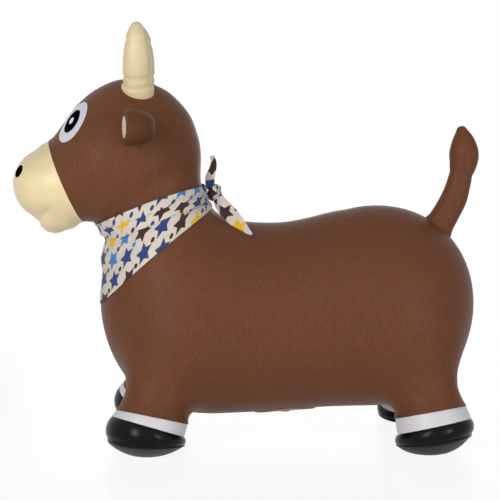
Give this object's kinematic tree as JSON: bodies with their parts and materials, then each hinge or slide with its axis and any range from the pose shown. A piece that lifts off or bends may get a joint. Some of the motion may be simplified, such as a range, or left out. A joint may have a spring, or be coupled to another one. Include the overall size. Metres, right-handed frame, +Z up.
{
  "type": "bouncy ride-on bull",
  "caption": "Inflatable hopper bull to sit on and bounce, with horns as handles, ears, a tail, domed feet, a belly valve and a tied cotton bandana.",
  "frame": {"origin": "on the floor, under the middle of the bounding box", "axes": "-X towards the nose, +Y to the bull's right, +Z up"},
  "size_m": [0.555, 0.2662, 0.4958],
  "materials": {
    "brown_vinyl": "satin soft vinyl with fine hair grain",
    "cream_vinyl": "satin soft vinyl",
    "black_vinyl": "glossy soft vinyl",
    "sole_vinyl": "satin tread",
    "white_vinyl": "satin soft vinyl",
    "pink_vinyl": "satin soft vinyl",
    "white_paint": "gloss paint",
    "black_paint": "gloss paint",
    "cotton": "printed plain weave"
  },
  "bodies": {
    "body": {"torso_skin": "brown_vinyl", "neck_skin": "brown_vinyl", "sock_front_left": "white_vinyl", "sock_front_right": "white_vinyl", "sock_rear_left": "white_vinyl", "sock_rear_right": "white_vinyl", "hoof_front_left": "black_vinyl", "hoof_front_right": "black_vinyl", "hoof_rear_left": "black_vinyl", "hoof_rear_right": "black_vinyl", "tail_root": "brown_vinyl", "valve_plate": "brown_vinyl", "valve_body": "brown_vinyl", "bandana_wrap": "cotton", "bandana_knot": "cotton", "bandana_end_upper": "cotton", "bandana_end_lower": "cotton"},
    "head": {"head_skin": "brown_vinyl", "muzzle_skin": "cream_vinyl", "eye_white_left": "white_paint", "eye_pupil_left": "black_paint", "eye_glint_left": "white_paint", "nostril_left": "black_paint", "horn_rim_left": "cream_vinyl", "ear_root_left": "brown_vinyl", "eye_white_right": "white_paint", "eye_pupil_right": "black_paint", "eye_glint_right": "white_paint", "nostril_right": "black_paint", "horn_rim_right": "cream_vinyl", "ear_root_right": "brown_vinyl"},
    "horn_left": {"horn_left": "cream_vinyl"},
    "horn_right": {"horn_right": "cream_vinyl"},
    "ear_left": {"ear_left": "brown_vinyl", "ear_lining_left": "pink_vinyl"},
    "ear_right": {"ear_right": "brown_vinyl", "ear_lining_right": "pink_vinyl"},
    "tail": {"tail": "brown_vinyl"},
    "tread_front_left": {"sole_front_left": "sole_vinyl"},
    "tread_front_right": {"sole_front_right": "sole_vinyl"},
    "tread_rear_left": {"sole_rear_left": "sole_vinyl"},
    "tread_rear_right": {"sole_rear_right": "sole_vinyl"},
    "plug": {"valve_plug": "black_vinyl"}
  },
  "joints": [
    {"name": "neck_nod", "type": "hinge", "parent": "body", "child": "head", "pos_m": [-0.112, 0, 0.2636], "axis": [0, 1, 0], "range_deg": [-6, 4], "stiffness_Nm_per_rad": 25, "deforming": ["neck_skin", "bandana_wrap"]},
    {"name": "horn_left_bend", "type": "hinge", "parent": "head", "child": "horn_left", "pos_m": [-0.1276, -0.04035, 0.42682], "axis": [0, 1, 0], "range_deg": [-10, 10], "stiffness_Nm_per_rad": 1.5, "deforming": ["horn_rim_left"]},
    {"name": "horn_right_bend", "type": "hinge", "parent": "head", "child": "horn_right", "pos_m": [-0.1276, 0.04035, 0.42682], "axis": [0, 1, 0], "range_deg": [-10, 10], "stiffness_Nm_per_rad": 1.5, "deforming": ["horn_rim_right"]},
    {"name": "ear_left_bend", "type": "hinge", "parent": "head", "child": "ear_left", "pos_m": [-0.12951, -0.08495, 0.3788], "axis": [0, 0, 1], "range_deg": [-20, 20], "stiffness_Nm_per_rad": 0.4, "deforming": ["ear_root_left"]},
    {"name": "ear_right_bend", "type": "hinge", "parent": "head", "child": "ear_right", "pos_m": [-0.12951, 0.08495, 0.3788], "axis": [0, 0, 1], "range_deg": [-20, 20], "stiffness_Nm_per_rad": 0.4, "deforming": ["ear_root_right"]},
    {"name": "tail_bend", "type": "hinge", "parent": "body", "child": "tail", "pos_m": [0.2392, 0, 0.26899], "axis": [0, 1, 0], "range_deg": [-15, 15], "stiffness_Nm_per_rad": 1.2, "deforming": ["tail_root"]},
    {"name": "tread_front_left_slide", "type": "slide", "parent": "body", "child": "tread_front_left", "axis": [0, 0, 1], "range_m": [0, 0.006], "stiffness_N_per_m": 2500, "springref_m": -0.002, "deforming": ["hoof_front_left"]},
    {"name": "tread_front_right_slide", "type": "slide", "parent": "body", "child": "tread_front_right", "axis": [0, 0, 1], "range_m": [0, 0.006], "stiffness_N_per_m": 2500, "springref_m": -0.002, "deforming": ["hoof_front_right"]},
    {"name": "tread_rear_left_slide", "type": "slide", "parent": "body", "child": "tread_rear_left", "axis": [0, 0, 1], "range_m": [0, 0.006], "stiffness_N_per_m": 2500, "springref_m": -0.002, "deforming": ["hoof_rear_left"]},
    {"name": "tread_rear_right_slide", "type": "slide", "parent": "body", "child": "tread_rear_right", "axis": [0, 0, 1], "range_m": [0, 0.006], "stiffness_N_per_m": 2500, "springref_m": -0.002, "deforming": ["hoof_rear_right"]},
    {"name": "valve_plug_pull", "type": "slide", "parent": "body", "child": "plug", "axis": [0, 0, -1], "range_m": [0, 0.02]}
  ]
}
